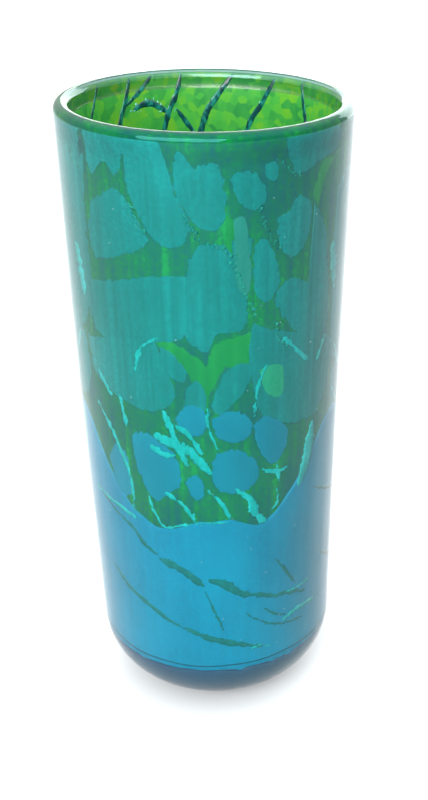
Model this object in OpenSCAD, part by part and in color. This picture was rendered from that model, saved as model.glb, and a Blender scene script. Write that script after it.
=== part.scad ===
// Cylinder vase of hand blown art glass, cased in layers.
// The vase stands on the ground plane with +Z up. The origin is the centre of its flat foot,
// and the face with the two long green trails looks along -Y.

/* [Vase] */
// Height from the foot to the top of the lip
vase_h = 250; // [240:1:280]
// Outside radius of the wall, measured at full height
rim_r = 55; // [52:0.5:58]
// Outside radius of the wall, run down to the ground
foot_r = 49; // [47:0.5:52]
// Radius of the rounding between foot and wall
heel_r = 28; // [24:0.5:30]

/* [Glass layers] */
// Thickness of the clear outer gather
casing_t = 2.8; // [2.4:0.1:3.4]
// Thickness of the coloured overlay under it
overlay_t = 1.2; // [0.8:0.1:1.6]
// Thickness of the pale opal core
core_t = 0.8; // [0.5:0.1:1.2]
// Thickness of the lime green lining
lining_t = 1.2; // [0.8:0.1:1.6]
// Height of clear glass above the coloured layers
lip_h = 3.4; // [3:0.1:5]

/* [Base] */
// Clear skin round and under the ink blue pad
skin_t = 1; // [0.8:0.1:1.6]
// Height of the underside of the coloured bubble
bubble_z = 12; // [10:0.5:14]
// Rounding of the coloured bubble's bottom corner
bubble_heel = 18; // [15:0.5:20]
// Height that the ink blue pad climbs to
ink_top = 24.5; // [22:0.5:27]

/* [Colour work] */
// Height where the blue wrap ends and the green ground starts
band_z = 98; // [90:1:104]
// Width of the laid-on green trails
trail_w = 2.6; // [1.6:0.2:4]
// Width of the teal veins in the lining
vein_w = 2; // [1.2:0.2:3]
// Height of the dark thread round the foot
thread_z = 27; // [25:0.5:30]
// Width of the dark thread
thread_w = 1.2; // [0.8:0.2:2]

/* [Hidden] */
$fn = 96;
wall_t = casing_t + overlay_t + core_t + lining_t;
core_in = casing_t + overlay_t;
lining_in = core_in + core_t;
lip_r = wall_t / 2;
shoulder_z = vase_h - lip_r;
colour_top = vase_h - lip_h;
flare = (rim_r - foot_r) / vase_h;
lean = atan(flare);
mid_r = (rim_r + foot_r) / 2;
reach = rim_r + 5;
step_deg = 24;
blob_sides = 9;

// Turquoise chips of the upper body: [degrees round from the front, height, width, length, tilt]
turquoise_front = [
    [-20, 228, 18, 26, 8], [0, 232, 19, 22, -6], [-36, 212, 20, 18, 20], [19, 231, 12, 11, 0],
    [38, 215, 13, 18, -12], [3, 198, 27, 22, 4], [-30, 184, 26, 22, 10], [48, 234, 16, 12, 0],
    [-52, 236, 16, 13, 0], [26, 188, 16, 20, -14], [-56, 190, 14, 24, 6]
];
// Blue chips of the middle band, in the same form
blue_front = [
    [-21, 125, 21, 24, 12], [-4, 112, 8, 9, 0], [13, 121, 19, 14, -6], [-5, 146, 12, 11, 10],
    [12, 140, 13, 9, -8], [30, 132, 15, 14, 0], [-42, 112, 13, 16, 16], [44, 118, 13, 15, -10]
];
// Mint streaks, in the same form
mint_front = [
    [-48, 154, 1.6, 13, -34], [-56, 126, 1.6, 20, -50], [-35, 108, 1.6, 15, -14],
    [-23, 101, 1.8, 12, -24], [-10, 104, 1.8, 14, -34], [7, 106, 1.8, 15, -36],
    [19, 103, 3, 15, -34], [50, 120, 1.8, 20, 22], [-10, 133, 2.4, 22, -38], [22, 150, 1.8, 17, 28]
];
// Rows of chips that carry each colour round the back: [height, first, last, count, width, length]
turquoise_back = [[230, 76, 284, 8, 18, 21], [205, 88, 272, 7, 19, 20], [182, 74, 286, 8, 18, 19]];
blue_back = [[140, 64, 296, 10, 14, 15], [119, 70, 290, 10, 15, 17]];
mint_back = [[154, 80, 280, 7, 1.8, 15], [104, 74, 286, 9, 1.8, 14]];

// Green trails as points of [degrees round, height], each laid on from upper left to lower right
trails = [
    [[-58, 99], [-36, 91], [-24, 81], [-11, 76], [-1, 69]],
    [[2, 71], [14, 64], [27, 57], [40, 57], [54, 52]],
    [[-51, 62], [-29, 54], [-12, 47], [6, 41], [24, 35]],
    [[33, 76], [44, 60]],
    [[17, 54], [27, 46], [38, 42], [51, 40]]
];
trail_turns = [0, 118, 242];
// Teal veins of the lining, run down from the lip
veins = [
    [[-122, 248], [-112, 226], [-104, 190]], [[-140, 248], [-136, 232], [-126, 196], [-120, 160]],
    [[-165, 248], [-160, 230], [-150, 190]], [[169, 248], [178, 232], [187, 214], [196, 170]],
    [[148, 248], [158, 228], [168, 200], [172, 160]], [[133, 248], [129, 226], [122, 190]]
];
vein_turns = [0, 180];

// Radius of the wall surface that lies t inside the outer one
function wall_x(t, z) = foot_r - t + flare * z;
// The points of a list of paths, rotated round the vase
function turned(path, turn) = [for (p = path) [p[0] + turn, p[1]]];
// A small spread that repeats, used to keep rows of chips from looking ruled
function wander(i, size) = size * sin(137 * i);

// Filled profile of a round-heeled cup whose wall lies t inside the outer one
module cup(t, low, heel, top) {
    heel_z = low + heel;
    heel_x = wall_x(t, heel_z) - heel / cos(lean);
    polygon([
        [0, low],
        [heel_x, low],
        [heel_x + heel * cos(lean), heel_z - heel * sin(lean)],
        [wall_x(t, top), top],
        [0, top]
    ]);
    intersection() {
        translate([heel_x, heel_z]) circle(heel);
        translate([heel_x, low]) square([heel + 1, heel - heel * sin(lean)]);
    }
}

// Filled profile of the coloured bubble at depth t, which keeps its heel concentric
module bubble(t, top) {
    depth = t - casing_t;
    cup(t, bubble_z + depth, bubble_heel - depth, top);
}

// Profile of one coloured layer
module layer(t_out, t_in) {
    difference() {
        bubble(t_out, colour_top);
        bubble(t_in, colour_top);
    }
}

// Profile of the ink blue pad, level on top and closed round the coloured bubble
module ink_profile() {
    difference() {
        intersection() {
            cup(skin_t, skin_t, heel_r - skin_t, colour_top);
            square([reach, ink_top]);
        }
        bubble(casing_t, colour_top);
    }
}

// Shape drawn flat at the front, pushed out from the axis through the whole wall
module stamp(turn, z) {
    rotate([0, 0, turn]) translate([0, 0, z]) rotate([90, 0, 0]) linear_extrude(reach) children();
}

// Melted chip, a soft-cornered lump whose outline wanders with its turn
module chip(c) {
    stamp(c[0], c[1]) rotate(c[4]) polygon([
        for (i = [0:blob_sides - 1])
            let (t = 360 * i / blob_sides, swell = 1 + 0.1 * sin(2 * t + 7 * c[0]))
            [c[2] / 2 * swell * cos(t), c[3] / 2 * swell * sin(t)]
    ]);
}

// Drawn streak, a pointed leaf
module streak(c) {
    stamp(c[0], c[1]) rotate(c[4]) polygon([
        [0, -c[3] / 2], [c[2] / 2, -c[3] / 6], [c[2] / 2, c[3] / 6],
        [0, c[3] / 2], [-c[2] / 2, c[3] / 6], [-c[2] / 2, -c[3] / 6]
    ]);
}

// Threads of glass laid along points of [degrees round, height]
module run(path, width, radius) {
    for (i = [0:len(path) - 2]) {
        rise = path[i + 1][1] - path[i][1];
        sweep = path[i + 1][0] - path[i][0];
        count = ceil(abs(sweep) / step_deg);
        arc = PI * radius * sweep / 180;
        for (j = [0:count - 1]) {
            share = (j + 0.5) / count;
            stamp(path[i][0] + sweep * share, path[i][1] + rise * share)
                rotate(atan2(rise, arc))
                square([norm([arc, rise]) / count + width / 2, width], center = true);
        }
    }
}

// One row of chips round the back of the vase
module row(r) {
    for (i = [0:r[3] - 1]) {
        turn = r[1] + (r[2] - r[1]) * i / (r[3] - 1);
        spot = [turn, r[0] + wander(i, 4), r[4] + wander(i + 3, 1), r[5] + wander(i + 5, 3), wander(i, 30)];
        if (r[4] > trail_w) chip(spot);
        else streak(spot);
    }
}

module turquoise_stamps() {
    for (c = turquoise_front) chip(c);
    for (r = turquoise_back) row(r);
}

module blue_stamps() {
    for (c = blue_front) chip(c);
    for (r = blue_back) row(r);
}

module mint_stamps() {
    for (c = mint_front) streak(c);
    for (r = mint_back) row(r);
}

module trail_stamps() {
    for (turn = trail_turns)
        for (path = trails) run(turned(path, turn), trail_w, foot_r);
}

module vein_stamps() {
    for (turn = vein_turns)
        for (path = veins) run(turned(path, turn), vein_w, mid_r - wall_t);
}

// The overlay above and below the line where the blue wrap ends
module overlay_above() {
    rotate_extrude() intersection() {
        layer(casing_t, core_in);
        translate([0, band_z]) square([reach, vase_h]);
    }
}

module overlay_below() {
    rotate_extrude() intersection() {
        layer(casing_t, core_in);
        square([reach, band_z]);
    }
}

module thread_cut() {
    translate([0, 0, thread_z]) cylinder(h = thread_w, r = reach);
}

module clear_casing() {
    color([0.80, 0.90, 0.88, 0.35]) rotate_extrude() {
        difference() {
            cup(0, 0, heel_r, shoulder_z);
            bubble(wall_t, shoulder_z);
            bubble(casing_t, colour_top);
            ink_profile();
        }
        translate([wall_x(lip_r, shoulder_z), shoulder_z]) circle(lip_r);
    }
}

module ink_base() {
    color([0.13, 0.20, 0.42]) rotate_extrude() ink_profile();
}

module blue_wrap() {
    color([0.04, 0.45, 0.62]) difference() {
        overlay_below();
        trail_stamps();
        mint_stamps();
        thread_cut();
    }
}

module green_ground() {
    color([0.04, 0.48, 0.26]) difference() {
        overlay_above();
        turquoise_stamps();
        blue_stamps();
        mint_stamps();
        trail_stamps();
    }
}

module turquoise_chips() {
    color([0.02, 0.52, 0.52]) difference() {
        intersection() {
            overlay_above();
            turquoise_stamps();
        }
        mint_stamps();
    }
}

module blue_chips() {
    color([0.08, 0.52, 0.66]) difference() {
        intersection() {
            overlay_above();
            blue_stamps();
        }
        mint_stamps();
        turquoise_stamps();
    }
}

module mint_streaks() {
    color([0.20, 0.90, 0.80]) intersection() {
        union() {
            overlay_above();
            overlay_below();
        }
        mint_stamps();
    }
}

module green_trails() {
    color([0.10, 0.42, 0.32]) difference() {
        intersection() {
            overlay_below();
            trail_stamps();
        }
        mint_stamps();
        thread_cut();
    }
}

module foot_thread() {
    color([0.06, 0.14, 0.30]) intersection() {
        overlay_below();
        thread_cut();
    }
}

module opal_core() {
    color([0.72, 0.90, 0.84]) rotate_extrude() layer(core_in, lining_in);
}

module lime_lining() {
    color([0.36, 0.66, 0.12]) difference() {
        rotate_extrude() layer(lining_in, wall_t);
        vein_stamps();
    }
}

module teal_veins() {
    color([0.02, 0.36, 0.40]) intersection() {
        rotate_extrude() layer(lining_in, wall_t);
        vein_stamps();
    }
}

clear_casing();
ink_base();
blue_wrap();
green_ground();
turquoise_chips();
blue_chips();
mint_streaks();
green_trails();
foot_thread();
opal_core();
lime_lining();
teal_veins();
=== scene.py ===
import math

import bmesh
import bpy
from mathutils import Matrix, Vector, noise


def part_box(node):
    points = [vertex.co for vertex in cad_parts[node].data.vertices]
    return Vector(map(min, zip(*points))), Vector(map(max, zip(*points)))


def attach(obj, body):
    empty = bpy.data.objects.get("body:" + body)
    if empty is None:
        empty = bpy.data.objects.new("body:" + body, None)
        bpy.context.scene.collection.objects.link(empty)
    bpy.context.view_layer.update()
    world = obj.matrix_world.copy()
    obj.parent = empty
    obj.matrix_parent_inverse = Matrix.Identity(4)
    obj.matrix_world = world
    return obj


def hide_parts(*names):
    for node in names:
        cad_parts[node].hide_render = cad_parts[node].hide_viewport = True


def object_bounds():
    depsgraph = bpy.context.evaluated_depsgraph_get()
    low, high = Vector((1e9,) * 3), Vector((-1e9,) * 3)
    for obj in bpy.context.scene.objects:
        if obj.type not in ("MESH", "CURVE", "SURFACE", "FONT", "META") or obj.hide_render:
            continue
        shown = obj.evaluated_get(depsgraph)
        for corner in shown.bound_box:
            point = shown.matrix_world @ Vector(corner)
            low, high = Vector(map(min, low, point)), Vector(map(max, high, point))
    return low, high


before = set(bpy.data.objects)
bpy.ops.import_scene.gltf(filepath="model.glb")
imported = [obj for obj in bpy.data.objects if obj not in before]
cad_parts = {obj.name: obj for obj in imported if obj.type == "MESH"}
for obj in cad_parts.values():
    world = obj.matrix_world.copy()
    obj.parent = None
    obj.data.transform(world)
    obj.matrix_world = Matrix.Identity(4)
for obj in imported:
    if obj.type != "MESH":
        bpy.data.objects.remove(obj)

cad_low, cad_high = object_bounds()
BODY = "root"


# ---------------------------------------------------------------- table, light and view
# The vase stands on a plain pale floor, lit by a soft dome and a broad softbox front and back.
# Nothing else stands near it, so its reflections are the floor and the lights alone.
class Wire:
    """One value in a material or geometry recipe. Plain sums on it add the nodes."""

    def __init__(self, recipe, socket):
        self.recipe = recipe
        self.socket = socket

    def sum(self, operation, *values):
        return self.recipe.wire("ShaderNodeMath", {"operation": operation}, dict(enumerate(values)))

    def __add__(self, other):
        return self.sum("ADD", self, other)

    def __sub__(self, other):
        return self.sum("SUBTRACT", self, other)

    def __mul__(self, other):
        return self.sum("MULTIPLY", self, other)

    def __truediv__(self, other):
        return self.sum("DIVIDE", self, other)

    def __rsub__(self, other):
        return self.sum("SUBTRACT", other, self)

    __radd__ = __add__
    __rmul__ = __mul__


class Recipe:
    """A node tree that is filled by plain calls."""

    def __init__(self, tree):
        self.tree = tree

    def add(self, kind, settings=None, sockets=None):
        made = self.tree.nodes.new(kind)
        for name, value in (settings or {}).items():
            if name == "stops":
                self.stops(made.color_ramp, value)
            else:
                setattr(made, name, value)
        for name, value in (sockets or {}).items():
            if isinstance(value, Wire):
                self.tree.links.new(value.socket, made.inputs[name])
            else:
                made.inputs[name].default_value = value
        return made

    def wire(self, kind, settings=None, sockets=None, output=0):
        return Wire(self, self.add(kind, settings, sockets).outputs[output])

    def stops(self, ramp, stops):
        while len(ramp.elements) < len(stops):
            ramp.elements.new(1.0)
        for element, (place, colour) in zip(ramp.elements, stops):
            element.position = place
            element.color = (*colour, 1.0)


def new_material(name):
    material = bpy.data.materials.new(name)
    material.use_nodes = True
    material.node_tree.nodes.clear()
    recipe = Recipe(material.node_tree)
    return material, recipe


def finish_surface(recipe, sockets):
    """Ends a recipe in one glass or paint surface with the given sockets."""
    surface = recipe.wire("ShaderNodeBsdfPrincipled", None, sockets)
    recipe.add("ShaderNodeOutputMaterial", None, {"Surface": surface})


def grain(recipe, stretch, scale, detail=3.0, turn=(0.0, 0.0, 0.0)):
    """Noise read in the object's own space, stretched along its axes."""
    place = recipe.wire("ShaderNodeTexCoord", output="Object")
    place = recipe.wire("ShaderNodeMapping", None, {"Vector": place, "Scale": stretch, "Rotation": turn})
    return recipe.wire("ShaderNodeTexNoise", None, {"Vector": place, "Scale": scale, "Detail": detail})


def blend(recipe, factor, first, second):
    """Mixes two colours by a factor."""
    return recipe.wire(
        "ShaderNodeMix",
        {"data_type": "RGBA"},
        {0: factor, 6: first if isinstance(first, Wire) else (*first, 1.0),
         7: second if isinstance(second, Wire) else (*second, 1.0)},
        output=2,
    )


def new_piece(name, points, faces, material=None):
    mesh = bpy.data.meshes.new(name)
    mesh.from_pydata(points, [], faces)
    mesh.validate()
    mesh.update()
    piece = bpy.data.objects.new(name, mesh)
    bpy.context.collection.objects.link(piece)
    if material:
        mesh.materials.append(material)
    return piece


FLOOR_HALF = 3.0

floor_paint, recipe = new_material("floor_paint")
mottle = grain(recipe, (1.0, 1.0, 1.0), 9.0)
finish_surface(recipe, {
    "Base Color": blend(recipe, mottle, (0.80, 0.84, 0.86), (0.84, 0.87, 0.89)),
    "Roughness": mottle * 0.2 + 0.5,
})
corner = FLOOR_HALF
floor = new_piece(
    "floor",
    [(-corner, -corner, 0), (corner, -corner, 0), (corner, corner, 0), (-corner, corner, 0)],
    [(0, 1, 2, 3)],
    floor_paint,
)

SKY_STRENGTH = 1.7
sky = bpy.data.worlds.new("soft_sky")
sky.use_nodes = True
sky.node_tree.nodes.clear()
recipe = Recipe(sky.node_tree)
direction = recipe.wire("ShaderNodeTexCoord", output="Generated")
rise = recipe.wire("ShaderNodeSeparateXYZ", None, {"Vector": direction}, output="Z")
dome = recipe.wire("ShaderNodeValToRGB", {"stops": [
    (0.0, (0.45, 0.45, 0.45)), (0.45, (0.55, 0.56, 0.56)), (0.75, (0.98, 0.99, 1.0))]}, {"Fac": rise})
light = recipe.wire("ShaderNodeBackground", None, {"Color": dome, "Strength": SKY_STRENGTH})
recipe.add("ShaderNodeOutputWorld", None, {"Surface": light})
bpy.context.scene.world = sky

SOFTBOXES = {
    "front_softbox": ((-0.35, -1.2, 0.75), 25),
    "back_softbox": ((0.45, 1.35, 0.42), 13),
}
for name, (stand, power) in SOFTBOXES.items():
    softbox = bpy.data.lights.new(name, "AREA")
    softbox.shape = "RECTANGLE"
    softbox.size = 1.6
    softbox.size_y = 1.0
    softbox.energy = power
    softbox_object = bpy.data.objects.new(name, softbox)
    softbox_object.location = stand
    aim = Vector((0, 0, 0.12)) - softbox_object.location
    softbox_object.rotation_mode = "QUATERNION"
    softbox_object.rotation_quaternion = aim.to_track_quat("-Z", "Y")
    bpy.context.collection.objects.link(softbox_object)

scene = bpy.context.scene
scene.view_settings.view_transform = "Standard"
scene.cycles.caustics_refractive = False
scene.cycles.caustics_reflective = False

FRAME_HEIGHT = 800
FOCAL = 1157
CENTRE_OFFSET = 54.5
SENSOR = 36.0
CAMERA_DISTANCE = 0.476
CAMERA_RISE = math.radians(27.1)
CAMERA_TILT = math.radians(27.0)
CAMERA_SIDE = 0.023

lens = bpy.data.cameras.new("view")
lens.sensor_width = SENSOR
lens.lens = FOCAL / FRAME_HEIGHT * SENSOR
lens.shift_x = -CENTRE_OFFSET / FRAME_HEIGHT
camera = bpy.data.objects.new("view", lens)
camera.location = (
    CAMERA_SIDE,
    -CAMERA_DISTANCE * math.cos(CAMERA_RISE),
    cad_high.z / 2 + CAMERA_DISTANCE * math.sin(CAMERA_RISE),
)
camera.rotation_euler = (math.pi / 2 - CAMERA_TILT, 0, 0)
bpy.context.collection.objects.link(camera)
scene.camera = camera


# ---------------------------------------------------------------- lime lining
# The first gather: lime green glass that is the inside of the vase. It is blown into a
# straight cup with a rounded bottom corner, and its inner skin is fire polished.
MM = 0.001
VASE_HEIGHT = cad_high.z
FOOT_RADIUS = 49 * MM
FLARE = 6 * MM / VASE_HEIGHT
COLOUR_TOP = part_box("lime_lining")[1].z
BUBBLE_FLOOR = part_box("blue_wrap")[0].z
BUBBLE_HEEL = 18 * MM
LIP = 3 * MM
SHOULDER = VASE_HEIGHT - LIP
FILM = 0.35 * MM


def wall_radius(height, depth=0.0):
    """Radius of the skin that lies at a depth under the outer wall."""
    return FOOT_RADIUS + FLARE * height - depth


CASING_DEPTH = wall_radius(COLOUR_TOP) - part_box("green_ground")[1].x
CORE_DEPTH = wall_radius(COLOUR_TOP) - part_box("opal_core")[1].x
LINING_DEPTH = wall_radius(COLOUR_TOP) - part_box("lime_lining")[1].x
WALL = LINING_DEPTH + 1.2 * MM


def lip_height(depth):
    """Height that colour at a depth reaches under the clear film of the rounded lip."""
    reach = LIP - FILM
    return SHOULDER + math.sqrt(max(reach ** 2 - (LIP - depth) ** 2, 0.0))


def sunk(height, depth):
    """Depth of a coloured skin. Near the lip the bore skin turns in under the clear film."""
    near = min(max(0.0, 1 - (SHOULDER - height) / (4 * MM)), 1.0)
    return min(depth, WALL - FILM * near)


def skin_depth(height, depth):
    """Depth of the outermost colour, which the clear gather thins over towards the lip."""
    near = min(max(0.0, 1 - (SHOULDER - height) / (9 * MM)), 1.0)
    return depth + (FILM - depth) * near * near * (3 - 2 * near)


BOW = 0.9 * MM
RIM_DROP = 0.6 * MM
SNUG = 0.998


def settle(piece):
    """Gives a piece the slight bow and uneven rim that the whole vase took as it cooled."""
    for corner in piece.data.vertices:
        share = corner.co.z / VASE_HEIGHT
        drop = RIM_DROP * (1.05 + corner.co.x / cad_high.x) * share ** 3
        corner.co.x = corner.co.x * SNUG - BOW * math.sin(math.pi * share)
        corner.co.y *= SNUG
        corner.co.z -= drop
    piece.data.update()


def hand_over(piece, slot, *nodes):
    """Settles a finished piece and gives it to the frame in place of its plain solids."""
    settle(piece)
    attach(piece, BODY)
    if nodes:
        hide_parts(*nodes)


def bubble(depth, top, heel_steps=14, wall_steps=48):
    """Side view of the coloured bubble at a depth, as (radius, height) from axis to top."""
    inset = depth - CASING_DEPTH
    floor = BUBBLE_FLOOR + inset
    heel = BUBBLE_HEEL - inset
    heel_height = floor + heel
    centre = wall_radius(heel_height, depth) - heel
    line = [(0.0, floor), (centre / 2, floor)]
    for step in range(heel_steps + 1):
        swing = math.pi / 2 * step / heel_steps
        line.append((centre + heel * math.sin(swing), heel_height - heel * math.cos(swing)))
    for step in range(1, wall_steps + 1):
        height = heel_height + (top - heel_height) * step / wall_steps
        line.append((wall_radius(height, sunk(height, depth)), height))
    return line


def lip_edge(depth_out, depth_in, steps=10):
    """Top edge of a layer where it follows the rounded lip, from outer to inner skin."""
    reach = LIP - FILM
    start = math.acos(max(min((LIP - depth_out) / reach, 1.0), -1.0))
    end = math.acos(max(min((LIP - depth_in) / reach, 1.0), -1.0))
    line = []
    for step in range(steps + 1):
        swing = start + (end - start) * step / steps
        depth = LIP - reach * math.cos(swing)
        line.append((wall_radius(SHOULDER, depth), SHOULDER + reach * math.sin(swing)))
    return line


def shell(depth_out, depth_in):
    """Closed side view of one layer of the bubble."""
    return bubble(depth_out, SHOULDER) + lip_edge(depth_out, depth_in) + bubble(depth_in, SHOULDER)[::-1]


def spin(name, outline, material, steps=180, ripple=None):
    """Turns a side view into a closed piece. It may start and end on the axis, or be a ring.
    The outline may be a function of the turn, for edges that wander."""
    profile = outline if callable(outline) else lambda turn: outline
    first = profile(0.0)
    poled = first[0][0] == 0.0
    points = [(0.0, 0.0, first[0][1]), (0.0, 0.0, first[-1][1])] if poled else []
    base = len(points)
    rows = len(first) - base
    for step in range(steps):
        turn = 2 * math.pi * step / steps
        line = profile(turn)
        for radius, height in line[1:-1] if poled else line:
            if ripple:
                radius += ripple(turn, radius, height)
            points.append((radius * math.sin(turn), -radius * math.cos(turn), height))
    faces = []
    for step in range(steps):
        here = base + step * rows
        there = base + (step + 1) % steps * rows
        for row in range(rows - 1):
            faces.append((here + row, there + row, there + row + 1, here + row + 1))
        if poled:
            faces.append((0, there, here))
            faces.append((here + rows - 1, there + rows - 1, 1))
        else:
            faces.append((here + rows - 1, there + rows - 1, there, here))
    piece = new_piece(name, points, faces, material)
    for face in piece.data.polygons:
        face.use_smooth = True
    return piece


lime_glass, recipe = new_material("lime_glass")
cloud = grain(recipe, (1.0, 1.0, 0.5), 45.0, 3.0)
fleck = grain(recipe, (1.0, 1.0, 0.35), 260.0, 2.0)
place = recipe.wire("ShaderNodeTexCoord", output="Object")
cobble = recipe.wire("ShaderNodeTexVoronoi", None, {"Vector": place, "Scale": 300.0}, output="Color")
cobble = recipe.wire("ShaderNodeSeparateColor", None, {"Color": cobble})
lime = recipe.wire("ShaderNodeValToRGB", {"stops": [
    (0.30, (0.025, 0.26, 0.055)), (0.48, (0.060, 0.40, 0.055)), (0.60, (0.115, 0.44, 0.035)),
    (0.72, (0.22, 0.46, 0.020))]},
    {"Fac": cloud * 0.5 + fleck * 0.22 + cobble * 0.28})
finish_surface(recipe, {
    "Base Color": lime,
    "Roughness": fleck * 0.1 + 0.25,
    "Coat Weight": 1.0,
    "Coat Roughness": 0.04,
})
lining = spin("lime_lining", shell(LINING_DEPTH, WALL), lime_glass)
hand_over(lining, "lime_glass", "lime_lining")


# ---------------------------------------------------------------- teal veins
# Threads of teal cane run down the lining from the lip. Each was trailed on hot, carries
# small pale bits of cane, and is melted nearly flush with the lime glass.
def smooth_path(points, share=6):
    """A curve through given points, with extra points between them."""
    path = []
    for index in range(len(points) - 1):
        before = points[max(index - 1, 0)]
        start = points[index]
        end = points[index + 1]
        after = points[min(index + 2, len(points) - 1)]
        for step in range(share):
            t = step / share
            path.append(tuple(
                0.5 * (2 * b + (c - a) * t + (2 * a - 5 * b + 4 * c - d) * t * t
                       + (3 * b - a - 3 * c + d) * t ** 3)
                for a, b, c, d in zip(before, start, end, after)))
    path.append(points[-1])
    return path


def thread_lines(name, runs):
    """Bench drawing of threads: lines laid flat, with x round the wall and y up it.
    Each run is (width in mm, points of degrees round from the front and mm up)."""
    points = []
    edges = []
    widths = []
    for width, run in runs:
        path = smooth_path(run)
        for index, (turn, height) in enumerate(path):
            if index:
                edges.append((len(points) - 1, len(points)))
            share = index / (len(path) - 1)
            points.append((math.radians(turn) * FOOT_RADIUS, height * MM, 0.0))
            widths.append(width * MM / 2 * (0.12 + 0.88 * math.sin(math.pi * share) ** 0.5))
    mesh = bpy.data.meshes.new(name)
    mesh.from_pydata(points, edges, [])
    mesh.attributes.new("half_width", "FLOAT", "POINT").data.foreach_set("value", widths)
    piece = bpy.data.objects.new(name, mesh)
    bpy.context.collection.objects.link(piece)
    return piece


def bench_tree(name, inputs):
    """A new geometry recipe with named inputs. Returns the tree, the recipe and the inputs."""
    tree = bpy.data.node_groups.new(name, "GeometryNodeTree")
    tree.interface.new_socket("Geometry", in_out="INPUT", socket_type="NodeSocketGeometry")
    tree.interface.new_socket("Geometry", in_out="OUTPUT", socket_type="NodeSocketGeometry")
    for label, kind in inputs.items():
        tree.interface.new_socket(label, in_out="INPUT", socket_type=kind)
    recipe = Recipe(tree)
    start = recipe.add("NodeGroupInput")
    wires = {socket.name: Wire(recipe, socket) for socket in start.outputs if socket.name}
    return tree, recipe, wires


def wrap(recipe, shape, depth, side):
    """Bends a flat bench drawing round the wall, at a depth, lifted to one side of it."""
    spot = recipe.wire("GeometryNodeInputPosition")
    split = recipe.add("ShaderNodeSeparateXYZ", None, {"Vector": spot})
    across, up, lift = (Wire(recipe, socket) for socket in split.outputs)
    turn = across / FOOT_RADIUS
    radius = up * FLARE + FOOT_RADIUS - depth + side * lift
    bent = recipe.wire("ShaderNodeCombineXYZ", None, {
        "X": radius * recipe.wire("ShaderNodeMath", {"operation": "SINE"}, {0: turn}),
        "Y": radius * recipe.wire("ShaderNodeMath", {"operation": "COSINE"}, {0: turn}) * -1.0,
        "Z": up,
    })
    return recipe.wire("GeometryNodeSetPosition", None, {"Geometry": shape, "Position": bent})


def end_tree(recipe, shape, material):
    shape = recipe.wire("GeometryNodeRealizeInstances", None, {"Geometry": shape})
    shape = recipe.wire("GeometryNodeSetShadeSmooth", None, {"Geometry": shape})
    shape = recipe.wire("GeometryNodeSetMaterial", None, {"Geometry": shape, "Material": material})
    recipe.add("NodeGroupOutput", None, {"Geometry": shape})


def through(piece, tree, values):
    """Runs a piece through a geometry recipe and keeps the result as its plain mesh."""
    modifier = piece.modifiers.new(tree.name, "NODES")
    modifier.node_group = tree
    for item in tree.interface.items_tree:
        if item.in_out == "INPUT" and item.name in values:
            modifier[item.identifier] = values[item.name]
    graph = bpy.context.evaluated_depsgraph_get()
    mesh = bpy.data.meshes.new_from_object(piece.evaluated_get(graph))
    drawing = piece.data
    piece.modifiers.remove(modifier)
    piece.data = mesh
    bpy.data.meshes.remove(drawing)
    mesh.name = piece.name
    return piece


FLATNESS = 0.16
thread_tree, recipe, given = bench_tree("laid_thread", {
    "Depth": "NodeSocketFloat", "Side": "NodeSocketFloat", "Ragged": "NodeSocketFloat",
    "Seed": "NodeSocketFloat", "Material": "NodeSocketMaterial"})
line = recipe.wire("GeometryNodeMeshToCurve", None, {"Mesh": given["Geometry"]})
line = recipe.wire("GeometryNodeResampleCurve", {"mode": "LENGTH"}, {"Curve": line, "Length": 0.7 * MM})
swell = recipe.wire("ShaderNodeTexNoise", {"noise_dimensions": "4D"},
                    {"W": given["Seed"], "Scale": 240.0, "Detail": 3.0, "Roughness": 0.6})
half_width = recipe.wire("GeometryNodeInputNamedAttribute", {"data_type": "FLOAT"}, {"Name": "half_width"})
uneven = (swell - 0.5) * given["Ragged"] * 3.0 + 1.0
section = recipe.wire("GeometryNodeCurvePrimitiveCircle", None, {"Resolution": 10, "Radius": 1.0})
tube = recipe.wire("GeometryNodeCurveToMesh", None, {
    "Curve": line, "Profile Curve": section,
    "Scale": half_width * recipe.wire("ShaderNodeMath", {"operation": "MAXIMUM"}, {0: uneven, 1: 0.25}),
    "Fill Caps": True})
fray = recipe.wire("ShaderNodeTexNoise", {"noise_dimensions": "4D"},
                   {"W": given["Seed"], "Scale": 700.0, "Detail": 2.0}, output=1)
fray = recipe.wire("ShaderNodeVectorMath", {"operation": "SUBTRACT"}, {0: fray, 1: (0.5, 0.5, 0.5)})
fray_reach = recipe.wire("ShaderNodeCombineXYZ", None, {
    "X": given["Ragged"] * 2.6 * MM, "Y": given["Ragged"] * 2.6 * MM, "Z": 0.0})
fray = recipe.wire("ShaderNodeVectorMath", {"operation": "MULTIPLY"}, {0: fray, 1: fray_reach})
flat = recipe.wire("ShaderNodeVectorMath", {"operation": "MULTIPLY"}, {
    0: recipe.wire("GeometryNodeInputPosition"), 1: (1.0, 1.0, FLATNESS)})
tube = recipe.wire("GeometryNodeSetPosition", None, {"Geometry": tube, "Position": flat, "Offset": fray})
lift = recipe.wire("ShaderNodeSeparateXYZ", None, {"Vector": recipe.wire("GeometryNodeInputPosition")}, output=2)
tube = recipe.wire("GeometryNodeStoreNamedAttribute", {"data_type": "FLOAT", "domain": "POINT"}, {
    "Geometry": tube, "Name": "inset", "Value": lift / (FLATNESS * MM)})
end_tree(recipe, wrap(recipe, tube, given["Depth"], given["Side"]), given["Material"])

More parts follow.
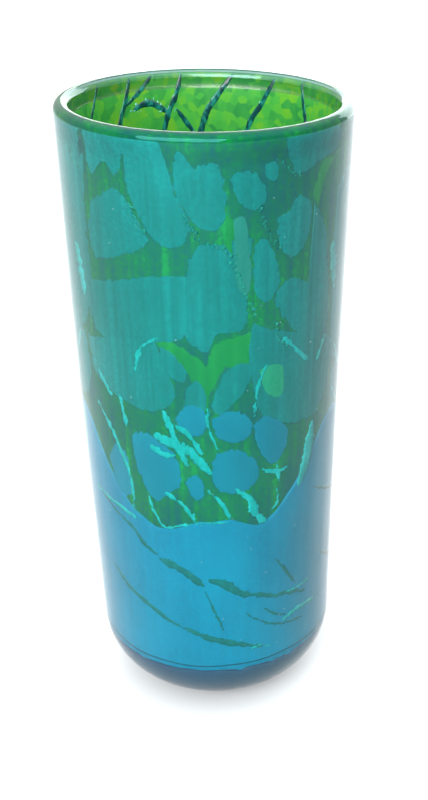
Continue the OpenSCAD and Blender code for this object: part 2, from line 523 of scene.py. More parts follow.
bit_tree, recipe, given = bench_tree("cane_bits", {
    "Depth": "NodeSocketFloat", "Side": "NodeSocketFloat", "Spacing": "NodeSocketFloat",
    "Size": "NodeSocketFloat", "Stray": "NodeSocketFloat", "Seed": "NodeSocketInt",
    "Material": "NodeSocketMaterial"})
line = recipe.wire("GeometryNodeMeshToCurve", None, {"Mesh": given["Geometry"]})
dots = recipe.wire("GeometryNodeCurveToPoints", {"mode": "LENGTH"},
                   {"Curve": line, "Length": given["Spacing"]})
stray = recipe.wire("FunctionNodeRandomValue", {"data_type": "FLOAT_VECTOR"}, {
    "Min": (-1.0, -1.0, 0.0), "Max": (1.0, 1.0, 0.0), "Seed": given["Seed"]})
stray = recipe.wire("ShaderNodeVectorMath", {"operation": "SCALE"}, {0: stray, "Scale": given["Stray"]})
dots = recipe.wire("GeometryNodeSetPosition", None, {"Geometry": dots, "Offset": stray})
bead = recipe.wire("GeometryNodeMeshIcoSphere", None, {"Radius": 1.0, "Subdivisions": 1})
spread = recipe.wire("FunctionNodeRandomValue", {"data_type": "FLOAT_VECTOR"}, {
    "Min": (0.3, 0.3, 0.16), "Max": (1.2, 1.5, 0.24), "Seed": given["Seed"]})
spread = recipe.wire("ShaderNodeVectorMath", {"operation": "SCALE"}, {0: spread, "Scale": given["Size"]})
beads = recipe.wire("GeometryNodeInstanceOnPoints", None, {
    "Points": dots, "Instance": bead, "Scale": spread})
beads = recipe.wire("GeometryNodeRealizeInstances", None, {"Geometry": beads})
end_tree(recipe, wrap(recipe, beads, given["Depth"], given["Side"]), given["Material"])

VEIN_RUNS = [
    (2.7, [(-141, 236), (-150, 238), (-160, 233)]),
    (1.7, [(-121, 249), (-116, 241), (-112, 230), (-106, 190)]),
    (2.3, [(-140, 249), (-137, 240), (-132, 228), (-124, 190), (-120, 150)]),
    (1.9, [(-152, 249), (-145, 243), (-137, 238)]),
    (2.3, [(-166, 249), (-163, 240), (-158, 230), (-150, 200)]),
    (1.9, [(-163, 235), (-168, 229), (-174, 222)]),
    (2.5, [(169, 249), (177, 240), (184, 229), (192, 196), (196, 160)]),
    (2.3, [(148, 249), (155, 238), (163, 225), (170, 190)]),
    (2.0, [(133, 249), (131, 240), (127, 226), (120, 190), (118, 150)]),
    (1.9, [(100, 249), (96, 230), (92, 196)]),
    (1.9, [(72, 249), (66, 226), (58, 180)]),
    (2.0, [(40, 249), (34, 220), (30, 170), (26, 140)]),
    (1.7, [(10, 249), (4, 224), (-4, 186)]),
    (2.0, [(-22, 249), (-30, 220), (-34, 176)]),
    (1.9, [(-58, 249), (-54, 224), (-46, 186), (-44, 150)]),
    (1.9, [(-90, 249), (-84, 226), (-80, 190)]),
]
KNOT_RUN = [(4.0, [(-141, 236), (-150, 238), (-160, 233)])]

teal_glass, recipe = new_material("teal_glass")
cloud = grain(recipe, (1.0, 1.0, 0.6), 500.0, 2.0)
finish_surface(recipe, {
    "Base Color": recipe.wire("ShaderNodeValToRGB", {"stops": [
        (0.42, (0.0, 0.040, 0.055)), (0.5, (0.0, 0.10, 0.10)), (0.58, (0.01, 0.22, 0.18))]}, {"Fac": cloud}),
    "Roughness": 0.3,
    "Coat Weight": 1.0,
    "Coat Roughness": 0.04,
})


def tuck(piece):
    """Leans the upper ends of inside threads over with the rounded lip."""
    for corner in piece.data.vertices:
        rise = corner.co.z - SHOULDER
        inward = FILM * min(max(1 + rise / (4 * MM), 0.0), 1.0)
        if rise > 0:
            inward = LIP - math.sqrt(max((LIP - FILM) ** 2 - rise ** 2, 0.0))
        radius = corner.co.xy.length
        corner.co.xy *= (radius + inward) / radius
        corner.co.z = min(corner.co.z, SHOULDER + LIP - FILM)


veins = through(thread_lines("teal_veins", VEIN_RUNS), thread_tree, {
    "Depth": WALL, "Side": -1.0, "Ragged": 0.35, "Seed": 3.0, "Material": teal_glass})
tuck(veins)
hand_over(veins, "teal_glass", "teal_veins")

cane_glass, recipe = new_material("pale_cane_glass")
cloud = grain(recipe, (1.0, 1.0, 1.0), 700.0, 1.0)
finish_surface(recipe, {
    "Base Color": blend(recipe, cloud, (0.03, 0.34, 0.31), (0.24, 0.72, 0.62)),
    "Roughness": 0.3,
    "Coat Weight": 1.0,
    "Coat Roughness": 0.04,
})
vein_bits = through(thread_lines("vein_bits", VEIN_RUNS), bit_tree, {
    "Depth": WALL, "Side": -1.0, "Spacing": 3.2 * MM, "Size": 0.5 * MM,
    "Stray": 0.7 * MM, "Seed": 5, "Material": cane_glass})
tuck(vein_bits)
hand_over(vein_bits, "teal_glass")
knot_bits = through(thread_lines("knot_bits", KNOT_RUN), bit_tree, {
    "Depth": WALL, "Side": -1.0, "Spacing": 0.8 * MM, "Size": 0.65 * MM,
    "Stray": 2.0 * MM, "Seed": 9, "Material": cane_glass})
hand_over(knot_bits, "teal_glass")


# ---------------------------------------------------------------- opal core
# A thin pale opal gather over the lining. It keeps the green inside from showing through
# the blue outside, and only its edge is seen, as a pale line inside the lip.
opal_glass, recipe = new_material("opal_glass")
cloud = grain(recipe, (1.0, 1.0, 1.0), 120.0, 2.0)
finish_surface(recipe, {
    "Base Color": blend(recipe, cloud, (0.30, 0.62, 0.50), (0.55, 0.80, 0.70)),
    "Roughness": 0.6,
    "Specular IOR Level": 0.0,
})
core = spin("opal_core", shell(CORE_DEPTH, LINING_DEPTH), opal_glass)
hand_over(core, "opal_glass", "opal_core")


# ---------------------------------------------------------------- colour overlay
# Two wraps of coloured glass over the core: emerald green above, sky blue below. The blue
# was pulled up over the green, so its edge wanders round the vase.
def painted(name, stops, cloud_scale, drag_share=0.3, ragged=0.0, painted_light=None):
    """Coloured glass sunk under the casing: clouded, with fine upright drag lines.
    Ragged colour frays out at its rim by so many mm. The painted light (low, high, gain) makes the colour brighter
    from low to high, light painted in where more falls on it or is reflected."""
    material, recipe = new_material(name)
    cloud = grain(recipe, (1.0, 1.0, 0.6), cloud_scale, 3.0)
    drag = grain(recipe, (1.0, 1.0, 0.03), 420.0, 2.0)
    speckle = grain(recipe, (1.0, 1.0, 1.0), 900.0, 1.0)
    mixed = cloud * (0.75 - drag_share) + drag * drag_share + speckle * 0.25
    colour = recipe.wire("ShaderNodeValToRGB", {"stops": stops}, {"Fac": mixed})
    # Painted light: a gain that rises with height brightens the colour where more light or reflection reaches it.
    if painted_light:
        low, high, gain = painted_light
        place = recipe.wire("ShaderNodeTexCoord", output="Object")
        height = recipe.wire("ShaderNodeSeparateXYZ", None, {"Vector": place}, output="Z")
        light_gain = recipe.wire("ShaderNodeMapRange", {"interpolation_type": "SMOOTHSTEP"}, {
            "Value": height, "From Min": low, "From Max": high, "To Min": 1.0, "To Max": gain})
        colour = recipe.wire("ShaderNodeVectorMath", {"operation": "SCALE"}, {0: colour, "Scale": light_gain})
    sockets = {"Base Color": colour, "Roughness": 0.8, "Specular IOR Level": 0.0}
    if ragged:
        inset = recipe.wire("ShaderNodeAttribute", {"attribute_name": "inset"}, output="Fac")
        fray = grain(recipe, (1.0, 1.0, 0.5), 700.0, 3.0)
        sockets["Alpha"] = recipe.wire("ShaderNodeMapRange", {"interpolation_type": "SMOOTHSTEP"}, {
            "Value": inset + (fray - 0.5) * (ragged * 3.0) + (drag - 0.5) * ragged,
            "From Min": 0.1, "From Max": 0.1 + ragged * 0.6, "To Min": 0.0, "To Max": 1.0})
    finish_surface(recipe, sockets)
    return material


emerald_glass = painted("emerald_glass", [
    (0.38, (0.0, 0.13, 0.11)), (0.47, (0.0, 0.18, 0.07)), (0.56, (0.001, 0.26, 0.04)),
    (0.64, (0.004, 0.46, 0.03))], 55.0, 0.35)
# The sky blue carries painted reflection: it is brighter low on the body, where the pale floor is reflected in it.
sky_blue_glass = painted("sky_blue_glass", [
    (0.36, (0.0, 0.27, 0.47)), (0.52, (0.0, 0.34, 0.58)), (0.66, (0.0, 0.41, 0.67))], 35.0, 0.15,
    painted_light=(65 * MM, 22 * MM, 1.08))

BLUE_EDGE = [
    (-80, 138), (-62, 132), (-50, 116), (-35, 100), (-20, 94), (-4, 98), (12, 99), (25, 95), (41, 107),
    (65, 131), (82, 128), (104, 108), (140, 99), (172, 114), (200, 126), (226, 108), (250, 112), (280, 138)]
GROUND_SINK = 0.1 * MM
GREEN_LOW = 88 * MM


def blue_edge(turn):
    """Height of the blue wrap's upper edge, with a slight ragged waver."""
    degrees = (math.degrees(turn) + 80) % 360 - 80
    path = smooth_path(BLUE_EDGE)
    for (start, low), (end, high) in zip(path, path[1:]):
        if start <= degrees <= end:
            height = low + (high - low) * (degrees - start) / (end - start)
    waver = noise.noise(Vector((9 * math.cos(turn), 9 * math.sin(turn), 0.0)))
    return height * MM + waver * 0.8 * MM


def green_outline(turn):
    """Closed ring section of the green wrap."""
    bend = SHOULDER - 9 * MM
    rows = [GREEN_LOW + (bend - GREEN_LOW) * step / 14 for step in range(14)]
    rows += [bend + (SHOULDER - bend) * step / 18 for step in range(19)]
    skin = []
    back = []
    for height in rows:
        skin.append((wall_radius(height, skin_depth(height, CASING_DEPTH + GROUND_SINK)), height))
        back.append((wall_radius(height, CORE_DEPTH), height))
    return skin + lip_edge(FILM, CORE_DEPTH) + back[::-1]


def blue_outline(turn):
    """Closed section of the blue wrap, up to its wandering edge."""
    top = blue_edge(turn)
    tip = (wall_radius(top, CASING_DEPTH + GROUND_SINK * 2), top + GROUND_SINK)
    return bubble(CASING_DEPTH, top, wall_steps=30) + [tip] + bubble(CORE_DEPTH, top - 6 * MM, wall_steps=20)[::-1]


green_ground = spin("green_ground", green_outline, emerald_glass)
hand_over(green_ground, "green_glass", "green_ground")
blue_wrap = spin("blue_wrap", blue_outline, sky_blue_glass, steps=240)
hand_over(blue_wrap, "blue_glass", "blue_wrap")


# ---------------------------------------------------------------- melted chips
# Lumps of turquoise and blue glass were picked up on the hot green gather and rolled in.
# Each is a soft lens with a wandering outline, a fraction of a millimetre proud of the green.
RINGS_OUT = tuple(1 - (step / 18) ** 1.3 for step in range(18))
RINGS_IN = (1.0, 0.75, 0.5, 0.25)


def melted(name, outlines, material, lift):
    """Closed soft lenses on the wall. An outline is points of (degrees round, mm up)."""
    points = []
    faces = []
    insets = []
    for number, outline in enumerate(outlines):
        edge = smooth_path(outline + outline[:1], share=5)[:-1]
        count = len(edge)
        middle_turn = sum(turn for turn, height in edge) / count
        middle_height = sum(height for turn, height in edge) / count
        for rings, rise in ((RINGS_OUT, lift), (RINGS_IN, -0.4 * MM)):
            start = len(points)
            for ring in rings + (0.0,):
                proud = rise * math.sqrt(1 - ring ** 4) if ring < 1.0 else 0.0
                for turn, height in edge if ring else edge[:1]:
                    waver = 1.02 + 0.05 * noise.noise(Vector((turn * 0.35, height * 0.4, number * 3.7)))
                    across = (turn - middle_turn) * ring * waver
                    up = (height - middle_height) * ring * waver
                    here = (middle_height + up) * MM
                    depth = skin_depth(min(here, SHOULDER), CASING_DEPTH + GROUND_SINK) - proud
                    here = min(here, lip_height(max(depth, FILM)))
                    radius = wall_radius(here, depth)
                    angle = math.radians(middle_turn + across)
                    points.append((radius * math.sin(angle), -radius * math.cos(angle), here))
                    span = math.hypot(math.radians(turn - middle_turn) * FOOT_RADIUS / MM, height - middle_height)
                    insets.append(span * (1 - ring))
            for ring in range(len(rings) - 1):
                for index in range(count):
                    following = (index + 1) % count
                    row = start + ring * count
                    faces.append((row + index, row + following, row + count + following, row + count + index))
            row = start + (len(rings) - 1) * count
            for index in range(count):
                faces.append((row + index, row + (index + 1) % count, row + count))
    piece = new_piece(name, points, faces, material)
    piece.data.attributes.new("inset", "FLOAT", "POINT").data.foreach_set("value", insets)
    for face in piece.data.polygons:
        face.use_smooth = True
    mend_normals(piece)
    return piece


def mend_normals(piece):
    """Merges doubled points and turns every face outwards."""
    mesh = bmesh.new()
    mesh.from_mesh(piece.data)
    bmesh.ops.remove_doubles(mesh, verts=mesh.verts, dist=0.001 * MM)
    bmesh.ops.recalc_face_normals(mesh, faces=mesh.faces)
    mesh.to_mesh(piece.data)
    mesh.free()


def lump(turn, height, width, length, tilt, sides=9):
    """Outline of one plain rolled-in lump."""
    outline = []
    for side in range(sides):
        angle = 2 * math.pi * side / sides
        swell = 1 + 0.16 * math.sin(2 * angle + turn) + 0.12 * math.sin(3 * angle + 2 * turn)
        x = width / 2 * swell * math.cos(angle)
        y = length / 2 * swell * math.sin(angle)
        lean = math.radians(tilt)
        across = x * math.cos(lean) - y * math.sin(lean)
        outline.append((turn + math.degrees(across * MM / FOOT_RADIUS),
                        height + x * math.sin(lean) + y * math.cos(lean)))
    return outline


def lump_row(height, first, last, count, width, length):
    """A row of lumps round the back, each of its own size, lean and place."""
    row = []
    for index in range(count):
        stray = noise.noise_vector(Vector((index * 1.7, height * 0.11, width * 0.3)))
        growth = noise.noise_vector(Vector((height * 0.17, index * 2.3, length * 0.4)))
        turn = first + (last - first) * index / (count - 1) + 8 * stray.x
        row.append(lump(turn, height + 9 * stray.y, width * (1 + 0.5 * growth.x),
                        length * (1 + 0.5 * growth.y), 60 * stray.z))
    return row


TURQUOISE_FRONT = [
    [(-46, 249), (-28, 249), (-28, 241), (-32, 233), (-36, 237), (-40, 236), (-44, 232), (-47, 239)],
    [(-28, 249), (-15, 249), (-12, 242), (-10, 236), (-8, 229), (-4, 221), (-3, 216), (-7, 211),
     (-13, 210), (-18, 213), (-23, 220), (-27, 228), (-28, 236)],
    [(-45, 223), (-38, 227), (-33, 229), (-28, 226), (-24, 220), (-20, 212), (-24, 208), (-37, 203),
     (-46, 202), (-49, 213)],
    [(-9, 241), (-6, 244), (-2, 239), (2, 240), (7, 239), (10, 231), (10, 222), (7, 217), (1, 217),
     (-5, 223), (-9, 231)],
    [(-51, 192), (-40, 194), (-29, 197), (-18, 199), (-4, 199), (-2, 188), (-5, 178), (-20, 173),
     (-44, 170), (-53, 180)],
    [(-4, 206), (1, 211), (9, 211), (14, 206), (18, 194), (18, 181), (12, 178), (6, 178), (2, 171),
     (-6, 177), (-8, 190)],
    [(11, 235), (15, 237), (21, 236), (26, 229), (24, 224), (19, 223), (14, 227)],
    [(24, 238), (28, 240), (31, 237), (29, 232), (25, 234)],
    [(31, 249), (53, 249), (64, 244), (62, 239), (50, 236), (40, 233), (35, 238)],
    [(30, 219), (35, 221), (39, 226), (46, 222), (46, 212), (42, 205), (36, 204), (31, 210)],
    [(48, 222), (55, 212), (59, 196), (61, 172), (52, 168), (42, 173), (32, 184), (31, 192), (38, 196),
     (46, 192), (48, 206)],
    [(12, 213), (17, 216), (20, 211), (19, 200), (17, 195), (13, 202)],
    [(21, 210), (25, 213), (30, 205), (32, 195), (28, 189), (23, 190), (20, 199)],
    [(-56, 168), (-38, 172), (-21, 175), (-16, 168), (-13, 160), (-11, 153), (-17, 147), (-26, 145),
     (-42, 149), (-54, 155)],
    [(-17, 173), (-11, 170), (-6, 164), (-7, 159), (-13, 160), (-17, 166)],
    [(-7, 157), (-2, 160), (2, 154), (1, 147), (-3, 144), (-8, 149)],
    [(3, 149), (6, 157), (9, 163), (15, 166), (21, 164), (18, 155), (12, 149), (7, 145)],
    [(21, 181), (28, 178), (38, 175), (60, 168), (66, 156), (58, 138), (44, 136), (32, 139), (24, 144),
     (21, 156), (19, 170)],
]
TURQUOISE_SIDES = [
    [(-84, 249), (-68, 248), (-50, 249), (-49, 236), (-50, 220), (-50, 206), (-51, 190), (-57, 174),
     (-70, 168), (-84, 172), (-91, 190), (-92, 215), (-88, 236)],
    [(-58, 168), (-66, 171), (-80, 168), (-87, 154), (-78, 142), (-66, 140), (-57, 150)],
    [(64, 224), (72, 229), (84, 226), (92, 210), (92, 182), (86, 160), (74, 152), (66, 160), (65, 180),
     (63, 200)],
    [(67, 148), (74, 152), (86, 150), (90, 138), (80, 130), (70, 134)],
]
TURQUOISE_BACK = [(233, 104, 252, 6, 22, 23), (209, 112, 256, 6, 23, 22), (184, 104, 262, 6, 23, 23),
                  (159, 110, 258, 6, 22, 22)]
BLUE_FRONT = [
    [(-33, 134), (-26, 136), (-19, 133), (-13, 129), (-10, 122), (-11, 115), (-15, 111), (-19, 108),
     (-23, 106), (-28, 112), (-32, 122)],
    [(-9, 117), (-5, 120), (-1, 118), (0, 112), (-3, 108), (-7, 111)],
    [(3, 125), (7, 130), (14, 130), (20, 127), (24, 121), (22, 114), (14, 111), (7, 112), (3, 118)],
    [(-12, 143), (-8, 149), (-3, 151), (2, 146), (1, 139), (-4, 136), (-9, 137)],
    [(3, 144), (9, 147), (16, 146), (21, 141), (19, 135), (13, 133), (6, 136)],
    [(21, 140), (26, 143), (33, 140), (38, 134), (37, 126), (31, 121), (25, 126), (22, 133)],
    [(-48, 120), (-42, 127), (-36, 122), (-35, 108), (-40, 104), (-46, 110)],
]
BLUE_BACK = [(138, 104, 262, 8, 17, 15), (120, 112, 254, 8, 16, 15)]

# The turquoise carries painted light: it is brighter towards the lip, where the sky's light falls on it.
turquoise_glass = painted("turquoise_glass", [
    (0.34, (0.0, 0.21, 0.17)), (0.50, (0.0, 0.285, 0.25)), (0.66, (0.002, 0.40, 0.37))], 40.0, 0.35,
    ragged=1.0, painted_light=(228 * MM, 245 * MM, 1.15))
blue_chip_glass = painted("blue_chip_glass", [
    (0.36, (0.0, 0.26, 0.38)), (0.52, (0.0, 0.30, 0.44)), (0.66, (0.004, 0.36, 0.50))], 45.0, 0.1,
    ragged=1.0)

outlines = TURQUOISE_FRONT + TURQUOISE_SIDES + [
    outline for row in TURQUOISE_BACK for outline in lump_row(*row)]
turquoise_chips = melted("turquoise_chips", outlines, turquoise_glass, 0.16 * MM)
hand_over(turquoise_chips, "turquoise_glass", "turquoise_chips")
outlines = BLUE_FRONT + [outline for row in BLUE_BACK for outline in lump_row(*row)]
blue_chips = melted("blue_chips", outlines, blue_chip_glass, 0.22 * MM)
hand_over(blue_chips, "sky_glass", "blue_chips")

LEAF_CHIPS = [
    [(-21, 177), (-12, 175), (-5, 171), (2, 166), (3, 156), (2, 147), (0, 147), (-3, 158), (-8, 165),
     (-15, 170)],
    [(2, 168), (6, 175), (14, 177), (21, 177), (21, 168), (16, 164), (9, 164), (4, 156), (1, 152),
     (0, 160)],
    [(10, 222), (13, 220), (16, 210), (14, 203), (10, 208)],
    [(60, 236), (54, 230), (50, 220), (47, 226), (52, 236)],
]
leaf_glass = painted("leaf_glass", [
    (0.36, (0.0, 0.27, 0.01)), (0.52, (0.002, 0.36, 0.015)), (0.66, (0.02, 0.46, 0.03))], 60.0,
    ragged=1.0)
leaf_chips = melted("leaf_chips", LEAF_CHIPS, leaf_glass, 0.06 * MM)
hand_over(leaf_chips, "green_glass")
SQUARE_CHIPS = [
    [(23, 162), (28, 164), (34, 163), (36, 157), (35, 150), (31, 149), (26, 153)],
]
apple_glass = painted("apple_glass", [
    (0.36, (0.01, 0.38, 0.14)), (0.52, (0.015, 0.46, 0.20)), (0.66, (0.03, 0.54, 0.24))], 60.0,
    ragged=1.0)
square_chips = melted("square_chips", SQUARE_CHIPS, apple_glass, 0.26 * MM)
hand_over(square_chips, "green_glass")
PALE_CHIPS = [
    [(13, 221), (17, 221), (19, 212), (20, 200), (18, 192), (14, 196), (13, 208)],
]
pale_glass = painted("pale_glass", [
    (0.36, (0.012, 0.29, 0.20)), (0.52, (0.024, 0.34, 0.24)), (0.66, (0.04, 0.40, 0.26))], 120.0, 0.4,
    ragged=1.0)
pale_chips = melted("pale_chips", PALE_CHIPS, pale_glass, 0.24 * MM)
hand_over(pale_chips, "turquoise_glass")


# ---------------------------------------------------------------- mint streaks
# Pulled threads and scraps of bright mint glass lie over the edges of the chips. They were
# laid on thin and ragged, and the last rolling smeared them into the glass round them.
MINT_RUNS = [
    (2.0, [(-52, 160), (-47, 152), (-42, 147)]),
    (1.8, [(-55, 144), (-45, 133), (-39, 123), (-35, 113), (-34, 97)]),
    (1.5, [(-17, 176), (-25, 171), (-29, 160)]),
    (2.2, [(-38, 150), (-35, 136)]),
    (2.6, [(-17, 147), (-14, 140), (-12, 133)]),
    (4.4, [(-22, 136), (-14, 133), (-6, 129)]),
    (3.2, [(-24, 131), (-18, 128), (-12, 128)]),
    (2.2, [(-12, 141), (-6, 137), (-1, 129)]),
    (3.0, [(-14, 139), (-10, 130), (-7, 123)]),
    (3.4, [(-9, 134), (-3, 127), (3, 120)]),
    (4.2, [(-60, 204), (-58, 195), (-56, 184)]),
    (1.2, [(2, 149), (2, 141), (6, 130)]),
    (1.5, [(27, 165), (23, 155), (21, 142)]),
    (1.9, [(34, 174), (40, 168), (49, 160)]),
    (2.0, [(60, 168), (54, 158)]),
    (5.0, [(53, 133), (50, 118), (45, 107)]),
    (1.8, [(24, 120), (33, 117), (39, 118)]),
    (1.8, [(32, 122), (34, 112)]),
    (1.5, [(-26, 108), (-24, 101), (-19, 94)]),
    (1.9, [(-18, 111), (-10, 106), (-4, 98)]),
    (1.6, [(0, 114), (7, 107), (11, 99)]),
    (3.4, [(13, 113), (20, 107), (22, 101), (27, 95)]),
    (1.2, [(33, 109), (33, 103), (30, 100)]),
    (1.8, [(-64, 100), (-45, 98), (-32, 95)]),
    (1.1, [(-21, 94), (-4, 98), (13, 98)]),
    (2.0, [(62, 45), (46, 46), (37, 44)]),
    (1.4, [(54, 58), (46, 57), (38, 58)]),
    (1.2, [(30, 33), (24, 35), (18, 34)]),
]


def round_back(runs, turns):
    """The same runs again, carried round the vase by each turn."""
    return [(width, [(turn + shift, height) for turn, height in run])
            for shift in turns for width, run in runs]


mint_glass = painted("mint_glass", [
    (0.36, (0.0, 0.46, 0.38)), (0.5, (0.0, 0.62, 0.58)), (0.66, (0.02, 0.78, 0.75))], 300.0, 0.4,
    ragged=0.6)
speck_glass = painted("speck_glass", [
    (0.36, (0.0, 0.13, 0.10)), (0.5, (0.0, 0.38, 0.25)), (0.66, (0.03, 0.62, 0.44))], 500.0)
streaks = through(
    thread_lines("mint_streaks", MINT_RUNS + round_back(MINT_RUNS[:20], (122, 236))), thread_tree, {
        "Depth": CASING_DEPTH - 0.15 * MM, "Side": 1.0, "Ragged": 1.1, "Seed": 11.0, "Material": mint_glass})
hand_over(streaks, "mint_glass", "mint_streaks")

CRACKLE_RUNS = [
    (1.0, [(-29, 227), (-25, 220), (-21, 213)]),
    (1.6, [(-7, 223), (0, 213), (9, 209), (14, 200), (22, 184)]),
    (1.2, [(22, 224), (26, 216), (31, 208)]),
    (1.2, [(29, 241), (34, 236), (40, 233)]),
    (1.4, [(30, 180), (33, 172), (36, 168)]),
]
crackle = through(
    thread_lines("mint_crackle", CRACKLE_RUNS + round_back(CRACKLE_RUNS, (96, 180, 268))), bit_tree, {
        "Depth": CASING_DEPTH - 0.1 * MM, "Side": 1.0, "Spacing": 0.8 * MM, "Size": 0.6 * MM,
        "Stray": 1.0 * MM, "Seed": 21, "Material": speck_glass})
hand_over(crackle, "mint_glass")


# ---------------------------------------------------------------- green trails
# Moss green threads trailed over the blue wrap from upper left to lower right, thick where
# the hand slowed and thin where it ran, with short and faint ones beside the two long ones.
TRAIL_RUNS = [
    (1.7, [(-62, 102), (-48, 95), (-36, 90), (-30, 84), (-23, 80)]),
    (4.0, [(-23, 79), (-16, 77), (-10, 74), (-2, 68)]),
    (4.2, [(0, 71), (7, 69), (14, 64), (19, 62)]),
    (2.4, [(17, 63), (27, 60), (34, 57)]),
    (2.0, [(33, 58), (40, 57), (52, 53)]),
    (2.1, [(-53, 66), (-42, 59), (-30, 54), (-20, 49), (-12, 46)]),
    (2.9, [(-13, 47), (-4, 43), (6, 40), (16, 37), (26, 34)]),
    (1.4, [(32, 77), (38, 69), (45, 59)]),
    (1.2, [(26, 54), (32, 49), (39, 46)]),
    (1.2, [(16, 54), (27, 46), (38, 42), (52, 40)]),
    (1.0, [(-2, 66), (3, 54), (8, 42)]),
]
moss_glass = painted("moss_glass", [
    (0.36, (0.0, 0.15, 0.14)), (0.52, (0.0, 0.22, 0.20)), (0.68, (0.006, 0.34, 0.32))], 150.0, 0.2,
    ragged=0.5)
trails = through(
    thread_lines("green_trails", TRAIL_RUNS + round_back(TRAIL_RUNS, (118, 242))), thread_tree, {
        "Depth": CASING_DEPTH - 0.05 * MM, "Side": 1.0, "Ragged": 0.95, "Seed": 31.0,
        "Material": moss_glass})
hand_over(trails, "moss_glass", "green_trails")


# ---------------------------------------------------------------- foot thread and ink pad
# A fine dark thread rings the blue just above its lower edge. Under it sits the thick ink
# blue pad that closes the foot, with a few small drips of blue run down over its rim.
THREAD_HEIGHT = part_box("foot_thread")[0].z
THREAD_HALF = 0.3 * MM
INK_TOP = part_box("ink_base")[1].z
INK_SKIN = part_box("ink_base")[0].z
HEEL = 28 * MM


def heel_point(height, depth_from_skin=0.0):
    """Point of the bubble's rounded corner at a height."""
    heel = BUBBLE_HEEL - depth_from_skin
    heel_height = BUBBLE_FLOOR + BUBBLE_HEEL
    centre = wall_radius(heel_height, CASING_DEPTH) - BUBBLE_HEEL
    return centre + math.sqrt(max(heel ** 2 - (heel_height - height) ** 2, 0.0))


def thread_outline(turn):
    waver = 0.3 * MM * math.sin(3 * turn) + 0.15 * MM * math.sin(11 * turn)
    height = THREAD_HEIGHT + waver
    middle = heel_point(height)
    line = []
    for step in range(8):
        swing = -2 * math.pi * step / 8
        line.append((middle - 0.3 * THREAD_HALF * math.cos(swing), height + THREAD_HALF * math.sin(swing)))
    return line


ink_glass, recipe = new_material("ink_glass")
cloud = grain(recipe, (1.0, 1.0, 1.0), 50.0, 2.0)
finish_surface(recipe, {
    "Base Color": blend(recipe, cloud, (0.028, 0.068, 0.155), (0.038, 0.090, 0.195)),
    "Roughness": 0.8,
    "Specular IOR Level": 0.0,
})
cord_glass, recipe = new_material("cord_glass")
cloud = grain(recipe, (1.0, 1.0, 1.0), 120.0, 2.0)
finish_surface(recipe, {
    "Base Color": blend(recipe, cloud, (0.0, 0.05, 0.09), (0.0, 0.12, 0.20)),
    "Roughness": 0.8,
    "Specular IOR Level": 0.0,
})
foot_thread = spin("foot_thread", thread_outline, cord_glass)
hand_over(foot_thread, "dark_glass", "foot_thread")

DRIPS = ((14, 2.0, 1.2), (31, 1.6, 1.0), (36, 1.4, 0.8), (41, 1.8, 1.2), (-38, 2.0, 0.7), (128, 2.0, 1.1),
         (190, 2.4, 1.0), (236, 1.8, 1.2))


def ink_edge(turn):
    """Height of the ink pad's rim, dipped where blue has dripped over it."""
    degrees = (math.degrees(turn) + 90) % 360 - 90
    height = INK_TOP + 0.35 * MM * math.sin(2 * turn + 0.6) + 0.12 * MM * math.sin(23 * turn)
    for middle, width, fall in DRIPS:
        height -= fall * MM * math.exp(-((degrees - middle) / width) ** 2)
    return height


def ink_outline(turn):
    """Closed section of the ink pad, between the clear skin of the foot and the bubble."""
    rim = ink_edge(turn)
    heel = HEEL - INK_SKIN
    centre = wall_radius(HEEL, INK_SKIN) - heel
    limit = math.acos((HEEL - rim) / heel)
    line = [(0.0, INK_SKIN), (centre / 2, INK_SKIN)]
    steps = 20
    for step in range(steps + 1):
        swing = limit * step / steps
        line.append((centre + heel * math.sin(swing), HEEL - heel * math.cos(swing)))
    outer = line[-1][0]
    inner = heel_point(rim, 0.2 * MM)
    line.append((outer * 0.8 + inner * 0.2, rim + 0.2 * MM))
    line.append((outer * 0.3 + inner * 0.7, rim + 0.3 * MM))
    low = BUBBLE_FLOOR + 0.2 * MM
    for step in range(steps + 1):
        height = rim + (low - rim) * math.sin(math.pi / 2 * step / steps)
        line.append((heel_point(height, 0.2 * MM), height))
    line.append((0.0, low))
    return line


ink_pad = spin("ink_base", ink_outline, ink_glass, steps=300)
hand_over(ink_pad, "ink_glass", "ink_base")


# ---------------------------------------------------------------- clear casing
# The last gather is clear, with a faint sea tint. It covers the whole bubble and the pad,
# rolls over the colours as a thick round lip, and keeps fine upright tool marks in its skin.
BURIED = (LINING_DEPTH + WALL) / 2
HEEL_STEPS = 22
WALL_STEPS = 80
LIP_STEPS = 20


def casing_outline():
    """Closed side view of the casing: sole, heel, wall, lip, and a hidden inner skin."""
    centre = wall_radius(HEEL) - HEEL
    line = [(0.0, 0.0), (centre / 2, 0.0)]
    for step in range(HEEL_STEPS + 1):
        swing = math.pi / 2 * step / HEEL_STEPS
        line.append((centre + HEEL * math.sin(swing), HEEL - HEEL * math.cos(swing)))
    for step in range(1, WALL_STEPS):
        height = HEEL + (SHOULDER - HEEL) * step / WALL_STEPS
        line.append((wall_radius(height), height))
    for step in range(LIP_STEPS + 1):
        swing = math.pi * step / LIP_STEPS
        line.append((wall_radius(SHOULDER, LIP) + LIP * math.cos(swing), SHOULDER + LIP * math.sin(swing)))
    for drop, depth in ((2.0, WALL), (4.5, WALL - 0.05 * MM), (6.5, WALL - 0.15 * MM), (9.0, BURIED)):
        height = SHOULDER - drop * MM
        line.append((wall_radius(height, depth), height))
    return line + bubble(BURIED, SHOULDER - 12 * MM, wall_steps=24)[::-1]


def tool_marks(turn, radius, height):
    """Slight unevenness of the outer skin, none at the lip, which was polished last."""
    if radius < wall_radius(height, CASING_DEPTH / 2) or height < HEEL / 2:
        return 0.0
    near = Vector((math.cos(turn), math.sin(turn), 0.0))
    upright = noise.noise(near * 9 + Vector((0, 0, height * 14)))
    dimple = noise.noise(near * 3 + Vector((0, 0, height * 40 + 5)))
    fade = min(1.0, (SHOULDER - height) / (20 * MM), (height - HEEL / 2) / (20 * MM))
    return (upright * 0.05 + dimple * 0.06 - 0.05) * MM * max(fade, 0.0)


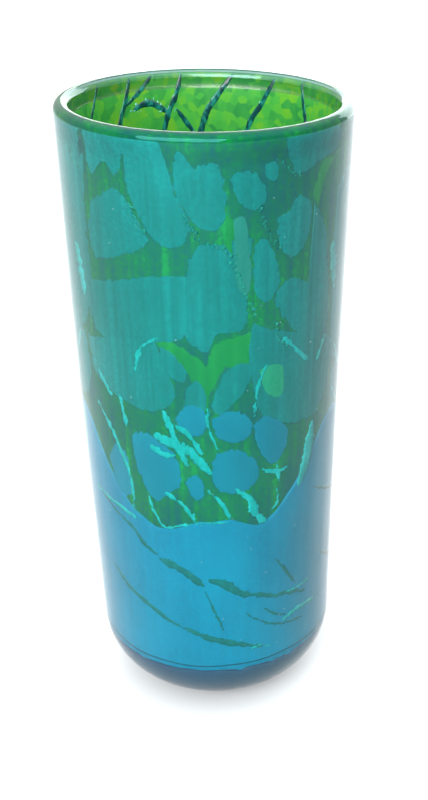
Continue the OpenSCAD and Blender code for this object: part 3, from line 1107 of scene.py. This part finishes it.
clear_glass, recipe = new_material("clear_glass")
upright = grain(recipe, (1.0, 1.0, 0.05), 900.0, 2.0)
dimple = grain(recipe, (1.0, 1.0, 0.8), 160.0, 3.0)
skin = recipe.wire("ShaderNodeBump", None, {
    "Strength": 0.25, "Distance": 0.1 * MM, "Height": upright * 0.5 + dimple * 0.5})
finish_surface(recipe, {
    "Base Color": (0.93, 0.99, 0.98, 1.0),
    "Roughness": 0.02,
    "IOR": 1.6,
    "Transmission Weight": 1.0,
    "Specular Tint": (0.2, 0.90, 1.0, 1.0),
    "Normal": skin,
})
casing = spin("clear_casing", casing_outline(), clear_glass, steps=256, ripple=tool_marks)
casing.visible_shadow = False
hand_over(casing, "clear_glass", "clear_casing")


# ---------------------------------------------------------------- air seeds
# Small bubbles of air caught in the clear gather as it was picked up, scattered at random
# through the wall from just over the foot to just under the lip.
scatter_tree, recipe, given = bench_tree("scattered_bits", {
    "Depth": "NodeSocketFloat", "Side": "NodeSocketFloat", "Size": "NodeSocketVector",
    "Density": "NodeSocketFloat", "Seed": "NodeSocketInt", "Material": "NodeSocketMaterial"})
dots = recipe.wire("GeometryNodeDistributePointsOnFaces", None, {
    "Mesh": given["Geometry"], "Density": given["Density"], "Seed": given["Seed"]})
bead = recipe.wire("GeometryNodeMeshIcoSphere", None, {"Radius": 1.0, "Subdivisions": 1})
size = recipe.wire("FunctionNodeRandomValue", {"data_type": "FLOAT_VECTOR"}, {
    "Min": (0.3, 0.3, 0.5), "Max": (1.0, 1.0, 1.0), "Seed": given["Seed"]})
size = recipe.wire("ShaderNodeVectorMath", {"operation": "MULTIPLY"}, {0: size, 1: given["Size"]})
beads = recipe.wire("GeometryNodeInstanceOnPoints", None, {"Points": dots, "Instance": bead, "Scale": size})
beads = recipe.wire("GeometryNodeRealizeInstances", None, {"Geometry": beads})
end_tree(recipe, wrap(recipe, beads, given["Depth"], given["Side"]), given["Material"])


def scatter(name, count, low, high, values):
    """About count bits strewn all round the vase between two heights in mm."""
    half_turn = math.pi * FOOT_RADIUS
    corners = [(-half_turn, low * MM, 0), (half_turn, low * MM, 0), (half_turn, high * MM, 0),
               (-half_turn, high * MM, 0)]
    area = 2 * half_turn * (high - low) * MM
    return through(new_piece(name, corners, [(0, 1, 2, 3)]), scatter_tree, {"Density": count / area, **values})


# Painted glint: the air bubbles are opaque pale beads whose colour stands in for the light they catch and reflect.
seed_glint_glass, recipe = new_material("seed_glint_glass")
cloud = grain(recipe, (1.0, 1.0, 1.0), 900.0, 1.0)
finish_surface(recipe, {
    "Base Color": blend(recipe, cloud, (0.15, 0.55, 0.60), (0.70, 0.95, 1.0)),
    "Roughness": 0.1,
})
seeds = scatter("air_seeds", 110, 34, 235, {
    "Depth": 1.6 * MM, "Side": 1.0, "Size": (0.32 * MM, 0.38 * MM, 0.32 * MM), "Seed": 4,
    "Material": seed_glint_glass})
hand_over(seeds, "clear_glass")
